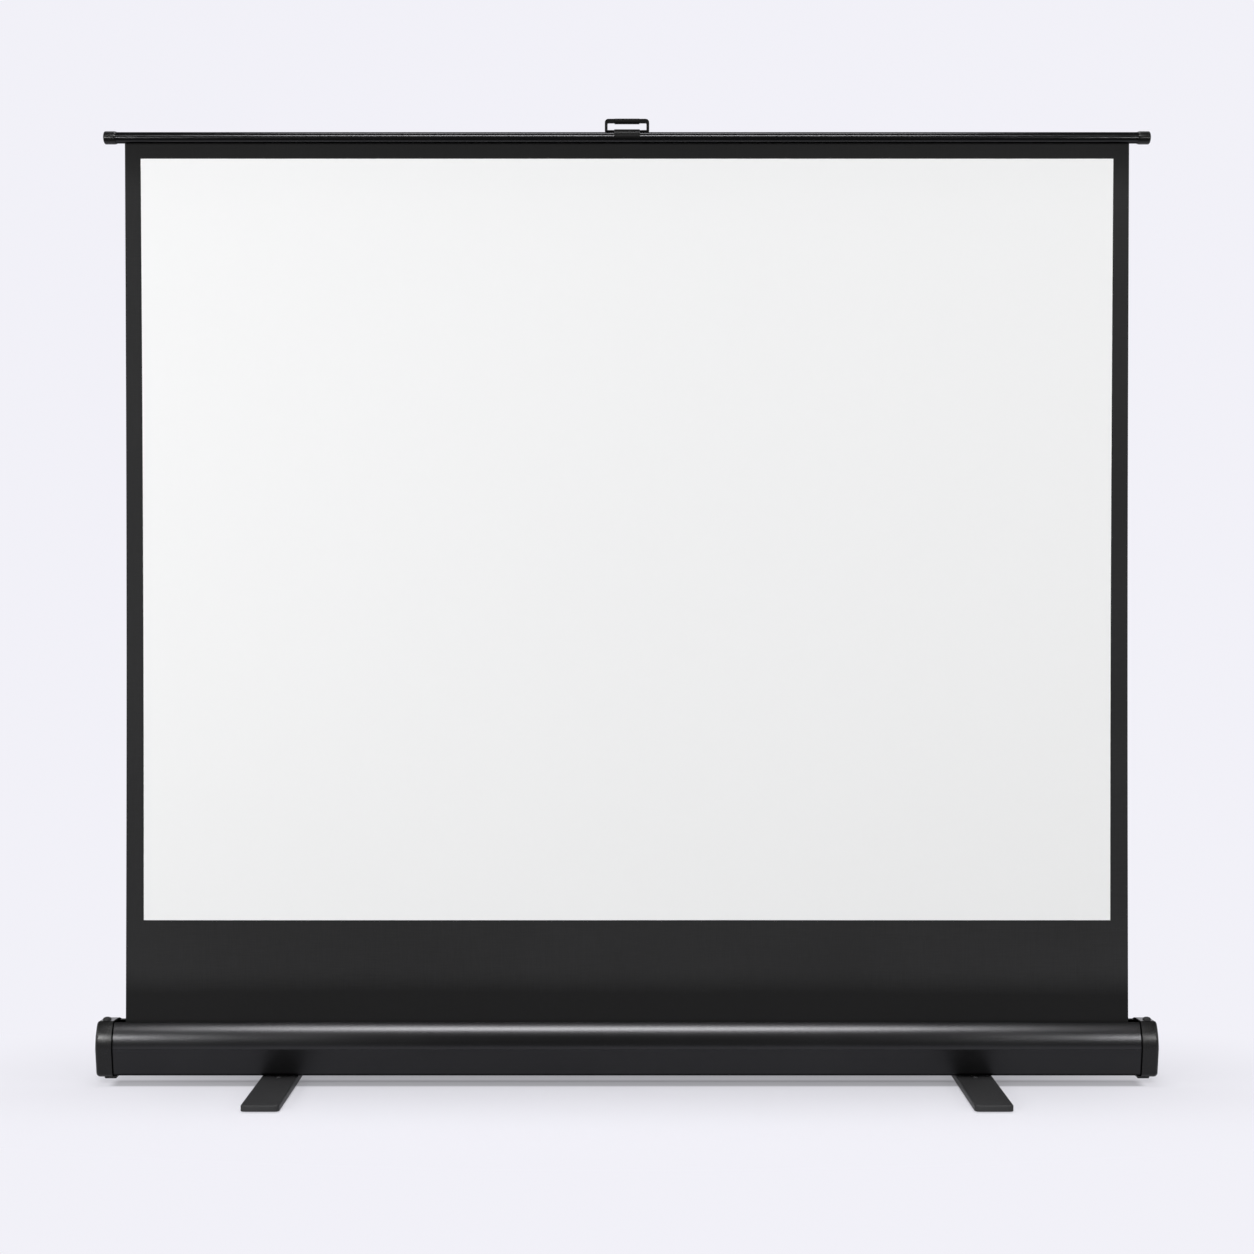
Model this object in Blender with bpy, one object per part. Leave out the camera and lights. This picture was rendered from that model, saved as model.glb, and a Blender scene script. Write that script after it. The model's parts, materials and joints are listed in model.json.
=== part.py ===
"""Pull-up projection screen.

A spring roller in a floor casing pays out a white screen with a black border. The top bar is pulled up by
its handle and stays up on two pairs of folding arms. The arms have toothed ends that mesh at the casing and
again at the bar, so both sides rise together and the bar stays level. Two feet turn out under the casing.

Metres, +Z up. X runs along the casing, the viewer looks along +Y, and the floor is Z = 0.
"""
import math

import bmesh
import bpy
from mathutils import Matrix, Vector

# Clearances
SEAT_GAP = 0.0003
PIN_GAP = 0.0004
MERGE_DISTANCE = 0.000001

# Screen
VIEW_WIDTH = 1.626
VIEW_HEIGHT = 1.276
SIDE_BORDER = 0.0281
TOP_BORDER = 0.0257
LOWER_DROP = 0.1702
BACKING_THICKNESS = 0.0004
SURFACE_THICKNESS = 0.0003

# Feet
FOOT_LENGTH = 0.396
FOOT_WIDTH = 0.0622
FOOT_HEIGHT = 0.0104
FOOT_CORNER_RADIUS = 0.007
FOOT_EDGE_BEVEL = 0.003
FOOT_END_INSET = 0.2791
PAD_HEIGHT = 0.0015
PAD_LENGTH = 0.040
PAD_WIDTH = 0.030
PAD_INSET = 0.012
PIVOT_BOLT_RADIUS = 0.005
PIVOT_HEAD_RADIUS = 0.009
PIVOT_HEAD_HEIGHT = 0.003
PIVOT_HEAD_RECESS = 0.001
WASHER_RADIUS = 0.014
WASHER_HEIGHT = 0.0027
STUD_RADIUS = 0.0043
STUD_HEIGHT = 0.0021
STUD_REACH = 0.030

# Casing
CASE_HEIGHT = 0.0900
CASE_DEPTH = 0.084
CASE_WALL = 0.0018
CASE_END_SPACE = 0.0215
SEAM_HEIGHT = 0.0465
SEAM_GAP = 0.0004
LOWER_TUCK = 0.007
CORNER_RADIUS = 0.008
FRONT_LIP_INSET = 0.0136
REAR_LIP_DROP = 0.0015
SLOT_REAR_SPACE = 0.003
TONGUE_THICKNESS = 0.0015
TONGUE_DEPTH = 0.008
TONGUE_ROOT = 0.005

# End caps
CAP_LENGTH = 0.0292
CAP_PROUD = 0.0018
CAP_EDGE_RADIUS = 0.006
CAP_DOME = 0.0012
CAP_FLOOR = 0.0035
CAP_INSET = 0.002
CAP_TOP_FALL = 0.004
LIP_LENGTH = 0.002
LIP_PROUD = 0.0008
TAB_LENGTH = 0.0204
TAB_REACH = 0.0042
TAB_WIDTH = 0.060
TAB_DROP = 0.0024
TAB_CHAMFER = 0.0012
BUMPER_RADIUS = 0.007
BUMPER_HEIGHT = 0.0058
BUMPER_SIDE = 0.0022
BUMPER_INSET = 0.0179

# Roller
ROLLER_RADIUS = 0.016
ROLLER_WALL = 0.0012
ROLLER_OVERHANG = 0.002
WRAP_THICKNESS = 0.0008
FULL_ROLL_RADIUS = 0.0216
ROLL_SPACE = 0.0006
PLUG_DEPTH = 0.030
PLUG_FLANGE = 0.003
AXLE_RADIUS = 0.004
BUSH_RADIUS = 0.009
SPRING_RADIUS = 0.0092
SPRING_WIRE = 0.0011
SPRING_TURNS = 14
SPRING_LENGTH = 0.285
ANCHOR_RADIUS = 0.0125
ANCHOR_WIDTH = 0.006

# Arms
ARM_THICKNESS = 0.0068
ARM_HALF_WIDTH = 0.009
ARM_RAISED_ANGLE = 66.4
PIVOT_HALF_SPACING = 0.014
TEETH_PER_TURN = 20
PRESSURE_ANGLE = 20.0
ADDENDUM_MODULES = 0.9
DEDENDUM_MODULES = 1.2
TOOTH_RELIEF = 0.00018
PIN_RADIUS = 0.004
PIN_HEAD_RADIUS = 0.0065
PIN_HEAD_HEIGHT = 0.0012
ELBOW_WASHER_RADIUS = 0.008
ELBOW_WASHER_THICKNESS = 0.001
BASE_GAUGE = 0.003
BASE_HALF_LENGTH = 0.040
BASE_FLANGE = 0.0115
SCREW_RADIUS = 0.002
SCREW_HEAD_RADIUS = 0.003
SCREW_HEAD_HEIGHT = 0.0016
SCREW_END_INSET = 0.012
BASE_PLATE_RISE = 0.017
BEND_RADIUS = 0.0012
BRACKET_SPACE = 0.002
TOP_GAUGE = 0.002
TOP_HALF_LENGTH = 0.036
TOP_PLATE_STANDOFF = 0.0015
TOP_PIVOT_DROP = 0.0354
TOP_PLATE_FOOT = 0.010
TOP_CLIP_ANGLE = 45.0

# Top bar
BAR_RADIUS = 0.0094
BAR_WALL = 0.0015
BAR_SLOT = 0.0024
BAR_OVERHANG = 0.0356
BAR_CAP_LENGTH = 0.0215
BAR_CAP_WALL = 0.0012
BAR_CAP_FLOOR = 0.0035
BAR_CAP_EDGE = 0.0035
BAR_CAP_TAPER = 0.0028
SPLINE_RADIUS = 0.003
SPLINE_DROP = 0.0047
FABRIC_STANDOFF = 0.0034

# Handle
HANDLE_WIDTH = 0.0743
HANDLE_HEIGHT = 0.0202
HANDLE_LEG = 0.0046
HANDLE_RAIL = 0.0072
HANDLE_DEPTH = 0.0032
HANDLE_CORNER = 0.006
HANDLE_INNER_CORNER = 0.0015
GRIP_LENGTH = 0.0414
GRIP_HEIGHT = 0.009
GRIP_DEPTH = 0.0084
GRIP_ROUND = 0.0028
GRIP_CROWN = 0.0004
HINGE_RADIUS = 0.0017
SADDLE_LENGTH = 0.043
SADDLE_WALL = 0.0016
SADDLE_BARREL = 0.0029
SADDLE_FRONT_ANGLE = 192.0
SADDLE_REAR_ANGLE = 68.0

# Heights from the floor up
FOOT_BOTTOM = PAD_HEIGHT + SEAT_GAP
FOOT_TOP = FOOT_BOTTOM + FOOT_HEIGHT
CASE_BOTTOM = FOOT_TOP + WASHER_HEIGHT + 2 * SEAT_GAP
CASE_TOP = CASE_BOTTOM + CASE_HEIGHT
SEAM_Z = CASE_BOTTOM + SEAM_HEIGHT
COVER_Z = SEAM_Z + SEAM_GAP
CAP_TOP = CASE_TOP + CAP_PROUD
VIEW_BOTTOM = CASE_TOP + LOWER_DROP
VIEW_TOP = VIEW_BOTTOM + VIEW_HEIGHT
BAR_Z = VIEW_TOP + TOP_BORDER + BAR_RADIUS
HINGE_Z = BAR_Z + BAR_RADIUS + SEAT_GAP + HINGE_RADIUS

# Depths from the front lip back
HALF_DEPTH = CASE_DEPTH / 2
FABRIC_Y = FRONT_LIP_INSET - HALF_DEPTH + FABRIC_STANDOFF
TOP_PLATE_FRONT = FABRIC_Y + TOP_PLATE_STANDOFF
TOP_PLATE_BACK = TOP_PLATE_FRONT + TOP_GAUGE
UPPER_ARM_FRONT = TOP_PLATE_BACK + SEAT_GAP
UPPER_ARM_BACK = UPPER_ARM_FRONT + ARM_THICKNESS
LOWER_ARM_FRONT = UPPER_ARM_BACK + ELBOW_WASHER_THICKNESS + 2 * SEAT_GAP
LOWER_ARM_BACK = LOWER_ARM_FRONT + ARM_THICKNESS
BASE_PLATE_FRONT = LOWER_ARM_BACK + SEAT_GAP
BASE_PLATE_BACK = BASE_PLATE_FRONT + BASE_GAUGE
REAR_LIP_Y = BASE_PLATE_BACK + SLOT_REAR_SPACE

# Lengths along the casing
FABRIC_WIDTH = VIEW_WIDTH + 2 * SIDE_BORDER
BAR_HALF = FABRIC_WIDTH / 2 + BAR_OVERHANG
CASE_HALF = FABRIC_WIDTH / 2 + CASE_END_SPACE
FOOT_X = CASE_HALF - FOOT_END_INSET
LIP_START = CASE_HALF - LIP_LENGTH - CASE_WALL
CAP_START = LIP_START + LIP_LENGTH
CAP_END = CAP_START + CAP_LENGTH
CAP_FLOOR_X = CAP_END - CAP_FLOOR
ROLLER_HALF = FABRIC_WIDTH / 2 + ROLLER_OVERHANG
BUSH_START = ROLLER_HALF + PLUG_FLANGE + 2 * SEAT_GAP

# Roller and lift geometry
WRAP_RADIUS = ROLLER_RADIUS + SEAT_GAP + WRAP_THICKNESS
ROLLER_Y = FABRIC_Y + BACKING_THICKNESS / 2 + SEAT_GAP + WRAP_RADIUS
ROLLER_Z = CASE_BOTTOM + CASE_WALL + ROLL_SPACE + FULL_ROLL_RADIUS
ROLL_TOP = ROLLER_Z + FULL_ROLL_RADIUS
TOOTH_MODULE = 2 * PIVOT_HALF_SPACING / TEETH_PER_TURN
TOOTH_TIP = PIVOT_HALF_SPACING + ADDENDUM_MODULES * TOOTH_MODULE
TOOTH_ROOT = PIVOT_HALF_SPACING - DEDENDUM_MODULES * TOOTH_MODULE
BASE_PIVOT_Z = ROLL_TOP + BRACKET_SPACE + TOOTH_TIP
TOP_PIVOT_Z = BAR_Z - TOP_PIVOT_DROP
ARM_LENGTH = (TOP_PIVOT_Z - BASE_PIVOT_Z) / (2 * math.sin(math.radians(ARM_RAISED_ANGLE)))
ELBOW_X = PIVOT_HALF_SPACING + ARM_LENGTH * math.cos(math.radians(ARM_RAISED_ANGLE))
ELBOW_Z = (BASE_PIVOT_Z + TOP_PIVOT_Z) / 2
BAR_CAP_RADIUS = BAR_RADIUS + SEAT_GAP + BAR_CAP_WALL
LOWERED_BAR_Z = CAP_TOP + SEAT_GAP + BUMPER_HEIGHT + BAR_CAP_RADIUS + PIN_GAP
LOWERED_RISE = (LOWERED_BAR_Z - TOP_PIVOT_DROP - BASE_PIVOT_Z) / (2 * ARM_LENGTH)
ARM_FOLD = ARM_RAISED_ANGLE - math.degrees(math.asin(LOWERED_RISE))

# Fixing screws of the two arm brackets
BRACKET_WEB_Y = ROLLER_Y + FULL_ROLL_RADIUS + BRACKET_SPACE
BRACKET_SCREW_X = BASE_HALF_LENGTH - SCREW_END_INSET
BRACKET_SCREW_Y = BRACKET_WEB_Y + (BASE_GAUGE + BEND_RADIUS + BASE_FLANGE) / 2
BAR_SCREW_X = TOP_HALF_LENGTH - SCREW_END_INSET

# Finishes: colour, roughness, metallic
FINISHES = {
    "satin_black": ((0.028, 0.028, 0.029), 0.42, 0.0),
    "moulded_black": ((0.022, 0.022, 0.023), 0.55, 0.0),
    "rubber": ((0.018, 0.018, 0.018), 0.8, 0.0),
    "black_fabric": ((0.021, 0.021, 0.022), 0.85, 0.0),
    "white_surface": ((0.86, 0.86, 0.87), 0.8, 0.0),
    "bright_steel": ((0.55, 0.55, 0.56), 0.35, 1.0),
    "bare_aluminium": ((0.62, 0.62, 0.63), 0.4, 1.0),
    "natural_nylon": ((0.75, 0.74, 0.7), 0.6, 0.0),
}


# Outlines

def arc(centre, radii, start, end, segments):
    """Points round a centre from one angle to another, in degrees, with a radius along each axis."""
    points = []
    for step in range(segments + 1):
        angle = math.radians(start + (end - start) * step / segments)
        points.append((centre[0] + radii[0] * math.cos(angle), centre[1] + radii[1] * math.sin(angle)))
    return points


def circle_arc(centre, radius, start, end, segments):
    return arc(centre, (radius, radius), start, end, segments)


def offset(points, distance, closed=True):
    """A counterclockwise outline moved outwards, or inwards where the distance is negative."""
    moved = []
    last = len(points) - 1
    for index, point in enumerate(points):
        here = Vector(point)
        directions = []
        if closed or index > 0:
            directions.append((here - Vector(points[index - 1])).normalized())
        if closed or index < last:
            directions.append((Vector(points[(index + 1) % len(points)]) - here).normalized())
        normals = [Vector((direction.y, -direction.x)) for direction in directions]
        middle = sum(normals, Vector((0.0, 0.0))).normalized()
        moved.append(tuple(here + middle * (distance / middle.dot(normals[0]))))
    return moved


def mirrored(points):
    """The outline reflected left to right, still counterclockwise."""
    return [(-across, up) for across, up in reversed(points)]


def rounded(corners, segments=3):
    """An outline whose corners, each given with its radius, are filleted."""
    points = []
    for index, (across, up, radius) in enumerate(corners):
        here = Vector((across, up))
        if radius == 0:
            points.append((across, up))
            continue
        back = (Vector(corners[index - 1][:2]) - here).normalized()
        onward = (Vector(corners[(index + 1) % len(corners)][:2]) - here).normalized()
        half = back.angle(onward) / 2
        centre = here + (back + onward).normalized() * (radius / math.sin(half))
        start = here + back * (radius / math.tan(half)) - centre
        end = here + onward * (radius / math.tan(half)) - centre
        turn = start.angle_signed(end)
        for step in range(segments + 1):
            spoke = start.copy()
            spoke.rotate(Matrix.Rotation(-turn * step / segments, 2))
            points.append(tuple(centre + spoke))
    return points


def rounded_box(width, height, radius, centre=(0.0, 0.0)):
    """A rectangle with four round corners."""
    across, up = width / 2, height / 2
    corners = [(-across, -up), (across, -up), (across, up), (-across, up)]
    return rounded([(centre[0] + x, centre[1] + y, radius) for x, y in corners])


# Solids

PLANES = {
    "x": lambda across, up, along: (along, across, up),
    "y": lambda across, up, along: (across, along, up),
    "z": lambda across, up, along: (across, up, along),
}


def finish_material(name, finish):
    """The piece's own material."""
    colour, roughness, metallic = FINISHES[finish]
    material = bpy.data.materials.new(f"{name}_finish")
    material.use_nodes = True
    shader = material.node_tree.nodes["Principled BSDF"]
    shader.inputs["Base Color"].default_value = (*colour, 1.0)
    shader.inputs["Roughness"].default_value = roughness
    shader.inputs["Metallic"].default_value = metallic
    return material


def make_object(name, bm, finish):
    """Turns a closed bmesh into a named piece."""
    bmesh.ops.remove_doubles(bm, verts=bm.verts, dist=MERGE_DISTANCE)
    bmesh.ops.recalc_face_normals(bm, faces=bm.faces)
    mesh = bpy.data.meshes.new(name)
    bm.to_mesh(mesh)
    bm.free()
    mesh.shade_smooth()
    mesh.set_sharp_from_angle(angle=math.radians(32))
    piece = bpy.data.objects.new(name, mesh)
    bpy.context.collection.objects.link(piece)
    mesh.materials.append(finish_material(name, finish))
    return piece


def prism(name, outline, axis, low, high, finish):
    """An outline extruded along an axis."""
    bm = bmesh.new()
    plane = PLANES[axis]
    face = bm.faces.new([bm.verts.new(plane(across, up, low)) for across, up in outline])
    grown = bmesh.ops.extrude_face_region(bm, geom=[face])["geom"]
    moved = [item for item in grown if isinstance(item, bmesh.types.BMVert)]
    bmesh.ops.translate(bm, verts=moved, vec=plane(0.0, 0.0, high - low))
    return make_object(name, bm, finish)


def turned(name, profile, axis, centre, finish, steps=20, closed=False):
    """A profile of (along, radius) points turned about an axis through a centre in the axis's plane."""
    bm = bmesh.new()
    plane = PLANES[axis]
    points = [bm.verts.new(plane(centre[0] + radius, centre[1], along)) for along, radius in profile]
    pairs = list(zip(points, points[1:]))
    if closed:
        pairs.append((points[-1], points[0]))
    edges = [bm.edges.new(pair) for pair in pairs]
    bmesh.ops.spin(
        bm, geom=points + edges, cent=plane(centre[0], centre[1], 0.0), axis=plane(0.0, 0.0, 1.0),
        angle=2 * math.pi, steps=steps, use_merge=True, use_duplicate=False,
    )
    return make_object(name, bm, finish)


def rod(name, radius, half_length, centre, finish, steps):
    """A round bar along X, centred at X = 0."""
    profile = [(-half_length, 0.0), (-half_length, radius), (half_length, radius), (half_length, 0.0)]
    return turned(name, profile, "x", centre, finish, steps=steps)


def loft(name, rings, finish):
    """A solid skinned over rings of equal count, with its first and last rings filled."""
    bm = bmesh.new()
    loops = [[bm.verts.new(point) for point in ring] for ring in rings]
    for lower, upper in zip(loops, loops[1:]):
        for index in range(len(lower)):
            bm.faces.new((lower[index - 1], lower[index], upper[index], upper[index - 1]))
    bm.faces.new(loops[0])
    bm.faces.new(loops[-1])
    return make_object(name, bm, finish)


def combine(piece, tool, operation):
    """Cuts a piece with a tool, or joins the tool to it. The tool follows the piece and is no part itself."""
    modifier = piece.modifiers.new(tool.name, "BOOLEAN")
    modifier.operation = operation
    modifier.solver = "EXACT"
    modifier.object = tool
    tool.parent = piece
    tool.hide_render = True
    tool.display_type = "WIRE"


def drill(piece, name, radius, axis, centre, low, high):
    """A round hole along an axis."""
    profile = [(low, 0.0), (low, radius), (high, radius), (high, 0.0)]
    combine(piece, turned(name, profile, axis, centre, "bright_steel", steps=20), "DIFFERENCE")


def joint_axis(name, place):
    """An empty on a joint's axis, which carries the pieces that turn about it."""
    empty = bpy.data.objects.new(name, None)
    empty.location = place
    empty.empty_display_size = 0.02
    bpy.context.collection.objects.link(empty)
    return empty


def carry(empty, *pieces):
    """Hangs pieces that are modelled in place on a joint's empty."""
    for piece in pieces:
        piece.parent = empty
        piece.location = piece.location - empty.location


# Casing section, in Y and Z

def front_curve():
    """Outer face of the front cover, from its lip down to the seam, where it stands upright."""
    rise = CASE_TOP - COVER_Z
    radius = (rise ** 2 + FRONT_LIP_INSET ** 2) / (2 * FRONT_LIP_INSET)
    sweep = math.degrees(math.asin(rise / radius))
    return circle_arc((radius - HALF_DEPTH, COVER_Z), radius, 180 - sweep, 180, 9)


def lower_curve():
    """Outer face of the base channel, from the front seam under the casing to the rear seam."""
    corner_y = HALF_DEPTH - LOWER_TUCK - CORNER_RADIUS
    corner_z = CASE_BOTTOM + CORNER_RADIUS
    lean = math.degrees(math.atan2(LOWER_TUCK, SEAM_Z - corner_z))
    front = circle_arc((-corner_y, corner_z), CORNER_RADIUS, 180 + lean, 270, 4)
    rear = circle_arc((corner_y, corner_z), CORNER_RADIUS, 270, 360 - lean, 4)
    return [(-HALF_DEPTH, SEAM_Z)] + front + rear + [(HALF_DEPTH, SEAM_Z)]


def rear_curve():
    """Outer face of the rear cover, from the seam up to the lip behind the slot."""
    radii = (HALF_DEPTH - REAR_LIP_Y, CASE_TOP - REAR_LIP_DROP - COVER_Z)
    return arc((REAR_LIP_Y, COVER_Z), radii, 0, 90, 10)


def tongue(curve_bottom):
    """The lap under the front seam that hooks the cover inside the base channel, from outside to inside."""
    corner_z = CASE_BOTTOM + CORNER_RADIUS
    down = Vector((LOWER_TUCK, corner_z - SEAM_Z)).normalized()
    inward = Vector((-down.y, down.x))
    seam = Vector((-HALF_DEPTH, SEAM_Z))
    outer = seam + inward * (CASE_WALL + SEAT_GAP)
    inner = outer + inward * TONGUE_THICKNESS
    return [
        (outer.x, curve_bottom),
        tuple(outer + down * TONGUE_DEPTH),
        tuple(inner + down * TONGUE_DEPTH),
        (inner.x, curve_bottom + TONGUE_ROOT),
    ]


def cover_outline(curve):
    """Section of a cover whose outer face runs from its rounded lip down to the front seam."""
    lip_top = Vector(curve[0])
    lip_start = lip_top + (Vector(curve[1]) - lip_top).normalized() * CASE_WALL / 2
    curve = [tuple(lip_start)] + curve[1:]
    inner = offset(curve, -CASE_WALL, closed=False)
    lip_middle = (Vector(curve[0]) + Vector(inner[0])) / 2
    lip_edge = Vector(curve[0]) - lip_middle
    lip_angle = math.degrees(math.atan2(lip_edge.y, lip_edge.x))
    lip = circle_arc(lip_middle, CASE_WALL / 2, lip_angle - 180, lip_angle, 4)
    root = COVER_Z + TONGUE_ROOT
    rising = [point for point in reversed(inner) if point[1] > root + TONGUE_THICKNESS]
    return curve + tongue(COVER_Z) + rising[:-1] + lip[:-1]


def make_casing():
    base_wall = lower_curve()
    base_outline = base_wall + list(reversed(offset(base_wall, -CASE_WALL, closed=False)))
    base = prism("casing_base", base_outline, "x", -CASE_HALF, CASE_HALF, "satin_black")
    through = (CASE_BOTTOM - CASE_WALL, CASE_BOTTOM + 2 * CASE_WALL)
    for side, sign in (("left", -1), ("right", 1)):
        bolt = (sign * FOOT_X, 0.0)
        drill(base, f"base_hole_{side}", PIVOT_BOLT_RADIUS + SEAT_GAP, "z", bolt, *through)
        screw = (sign * BRACKET_SCREW_X, BRACKET_SCREW_Y)
        drill(base, f"base_screw_hole_{side}", SCREW_RADIUS + SEAT_GAP, "z", screw, *through)
    prism("casing_front_cover", cover_outline(front_curve()), "x", -CASE_HALF, CASE_HALF, "satin_black")
    rear = mirrored(cover_outline(mirrored(rear_curve())))
    prism("casing_rear_cover", rear, "x", -CASE_HALF, CASE_HALF, "satin_black")


# End caps

def lowered(outline, drop):
    """An outline of the casing whose top is drawn down, by less and less towards the seam."""
    return [(y, z - drop * max(0.0, (z - SEAM_Z) / (CASE_TOP - SEAM_Z))) for y, z in outline]


def cap_rings(sign):
    """Rings from the floor of the cap's hollow, out round its thin lip and over its outer face."""
    section = front_curve() + lower_curve() + rear_curve()
    seat = CASE_HALF + SEAT_GAP
    steps = [
        (CAP_FLOOR_X, -CAP_INSET),
        (seat, -CAP_INSET),
        (seat, SEAT_GAP),
        (LIP_START, SEAT_GAP),
        (LIP_START, LIP_PROUD),
        (CAP_START, LIP_PROUD),
        (CAP_START, CAP_PROUD),
    ]
    rings = [[(sign * x, y, z) for y, z in offset(section, grow)] for x, grow in steps]
    shoulder = CAP_END - CAP_DOME - CAP_EDGE_RADIUS
    for angle in (0, 30, 60, 90):
        turn = math.radians(angle)
        share = 1 - math.cos(turn)
        edge = lowered(offset(section, CAP_PROUD - CAP_EDGE_RADIUS * share), CAP_TOP_FALL * share)
        x = sign * (shoulder + CAP_EDGE_RADIUS * math.sin(turn))
        rings.append([(x, y, z) for y, z in edge])
    rim = rings[-1]
    middle_z = (CASE_BOTTOM + CASE_TOP) / 2
    for share in (0.75, 0.4):
        out = sign * (CAP_END - CAP_DOME * share ** 2)
        rings.append([(out, share * y, middle_z + share * (z - middle_z)) for _, y, z in rim])
    return rings


def make_end_cap(side, sign):
    cap = loft(f"end_cap_{side}", cap_rings(sign), "moulded_black")
    tab_start = LIP_START - TAB_REACH
    tab_end = tab_start + TAB_LENGTH
    tab_sides = (-TAB_WIDTH / 2, TAB_WIDTH / 2)
    bottom = CASE_BOTTOM - CAP_PROUD - TAB_DROP
    top = CASE_BOTTOM - (SEAT_GAP + LIP_PROUD) / 2
    tab = [
        (sign * tab_start, top),
        (sign * tab_start, bottom + TAB_CHAMFER),
        (sign * (tab_start + TAB_CHAMFER), bottom),
        (sign * (tab_end - TAB_CHAMFER), bottom),
        (sign * tab_end, bottom + TAB_CHAMFER),
        (sign * tab_end, top),
    ]
    combine(cap, prism(f"cap_tab_{side}", tab, "y", *tab_sides, "moulded_black"), "UNION")
    seat = CAP_TOP + SEAT_GAP
    profile = [(seat, 0.0), (seat, BUMPER_RADIUS)]
    dome = arc((0.0, seat + BUMPER_SIDE), (BUMPER_RADIUS, BUMPER_HEIGHT - BUMPER_SIDE), 0, 90, 4)
    profile += [(height, radius) for radius, height in dome]
    place = (sign * (CAP_END - BUMPER_INSET), FABRIC_Y)
    turned(f"rest_bumper_{side}", profile, "z", place, "rubber", steps=18)


# Roller, with its plain end on the left and its spring on the right

def make_roller():
    axis = joint_axis("roller_axis", (0.0, ROLLER_Y, ROLLER_Z))
    centre = (ROLLER_Y, ROLLER_Z)
    bore = ROLLER_RADIUS - ROLLER_WALL

    def sleeve(name, inner, outer, half, finish):
        profile = [(-half, inner), (-half, outer), (half, outer), (half, inner)]
        return turned(name, profile, "x", centre, finish, steps=24, closed=True)

    tube = sleeve("roller_tube", bore, ROLLER_RADIUS, ROLLER_HALF, "bare_aluminium")
    core = ROLLER_RADIUS + SEAT_GAP
    wraps = sleeve("fabric_wraps", core, WRAP_RADIUS, FABRIC_WIDTH / 2, "black_fabric")

    tail = ROLLER_HALF - PLUG_DEPTH
    flange = ROLLER_HALF + SEAT_GAP
    face = flange + PLUG_FLANGE
    snug = bore - SEAT_GAP
    axle_end = CAP_FLOOR_X - 2 * SEAT_GAP
    idler = [
        (-tail, 0.0), (-tail, snug), (-flange, snug), (-flange, ROLLER_RADIUS), (-face, ROLLER_RADIUS),
        (-face, AXLE_RADIUS), (-axle_end, AXLE_RADIUS), (-axle_end, 0.0),
    ]
    idler_plug = turned("roller_idler_plug", idler, "x", centre, "moulded_black")
    running = AXLE_RADIUS + PIN_GAP
    spring_end = [
        (tail, running), (tail, snug), (flange, snug), (flange, ROLLER_RADIUS), (face, ROLLER_RADIUS),
        (face, running),
    ]
    spring_plug = turned("roller_spring_plug", spring_end, "x", centre, "moulded_black", closed=True)
    spring = make_spring(tail - SEAT_GAP - SPRING_WIRE - SPRING_LENGTH)
    carry(axis, tube, wraps, idler_plug, spring_plug, spring)

    anchor_face = tail - 2 * (SEAT_GAP + SPRING_WIRE) - SPRING_LENGTH
    anchor_end = anchor_face - ANCHOR_WIDTH
    shaft = [
        (anchor_end, 0.0), (anchor_end, ANCHOR_RADIUS), (anchor_face, ANCHOR_RADIUS),
        (anchor_face, AXLE_RADIUS), (axle_end, AXLE_RADIUS), (axle_end, 0.0),
    ]
    turned("roller_spring_shaft", shaft, "x", centre, "bright_steel")
    for side, sign, gap in (("left", -1, PIN_GAP), ("right", 1, SEAT_GAP)):
        start, end = sign * BUSH_START, sign * (CAP_FLOOR_X - SEAT_GAP)
        hole = AXLE_RADIUS + gap
        bush = [(start, hole), (start, BUSH_RADIUS), (end, BUSH_RADIUS), (end, hole)]
        turned(f"roller_bush_{side}", bush, "x", centre, "natural_nylon", closed=True)


def make_spring(start):
    """The torsion spring that winds the screen back, coiled round the fixed shaft."""
    curve = bpy.data.curves.new("roller_spring", "CURVE")
    curve.dimensions = "3D"
    curve.bevel_depth = SPRING_WIRE
    curve.bevel_resolution = 1
    curve.use_fill_caps = True
    points_per_turn = 9
    count = SPRING_TURNS * points_per_turn + 1
    spline = curve.splines.new("POLY")
    spline.points.add(count - 1)
    for index, point in enumerate(spline.points):
        turn = 2 * math.pi * index / points_per_turn
        along = start + SPRING_LENGTH * index / (count - 1)
        across, up = SPRING_RADIUS * math.cos(turn), SPRING_RADIUS * math.sin(turn)
        point.co = (along, ROLLER_Y + across, ROLLER_Z + up, 1.0)
    spring = bpy.data.objects.new("roller_spring", curve)
    bpy.context.collection.objects.link(spring)
    curve.materials.append(finish_material("roller_spring", "bright_steel"))
    return spring


# Screen

def sheet(name, width, front, back, low, high, finish):
    outline = [(-width / 2, low), (width / 2, low), (width / 2, high), (-width / 2, high)]
    return prism(name, outline, "y", front, back, finish)


def make_screen():
    """The black backing with its borders, and the white viewing surface on its front."""
    front = FABRIC_Y - BACKING_THICKNESS / 2
    back = FABRIC_Y + BACKING_THICKNESS / 2
    sheet("screen_backing", FABRIC_WIDTH, front, back, ROLLER_Z, VIEW_TOP, "black_fabric")
    rear = front - SEAT_GAP
    face = rear - SURFACE_THICKNESS
    sheet("viewing_surface", VIEW_WIDTH, face, rear, VIEW_BOTTOM, VIEW_TOP, "white_surface")


# Folding arms

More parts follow.
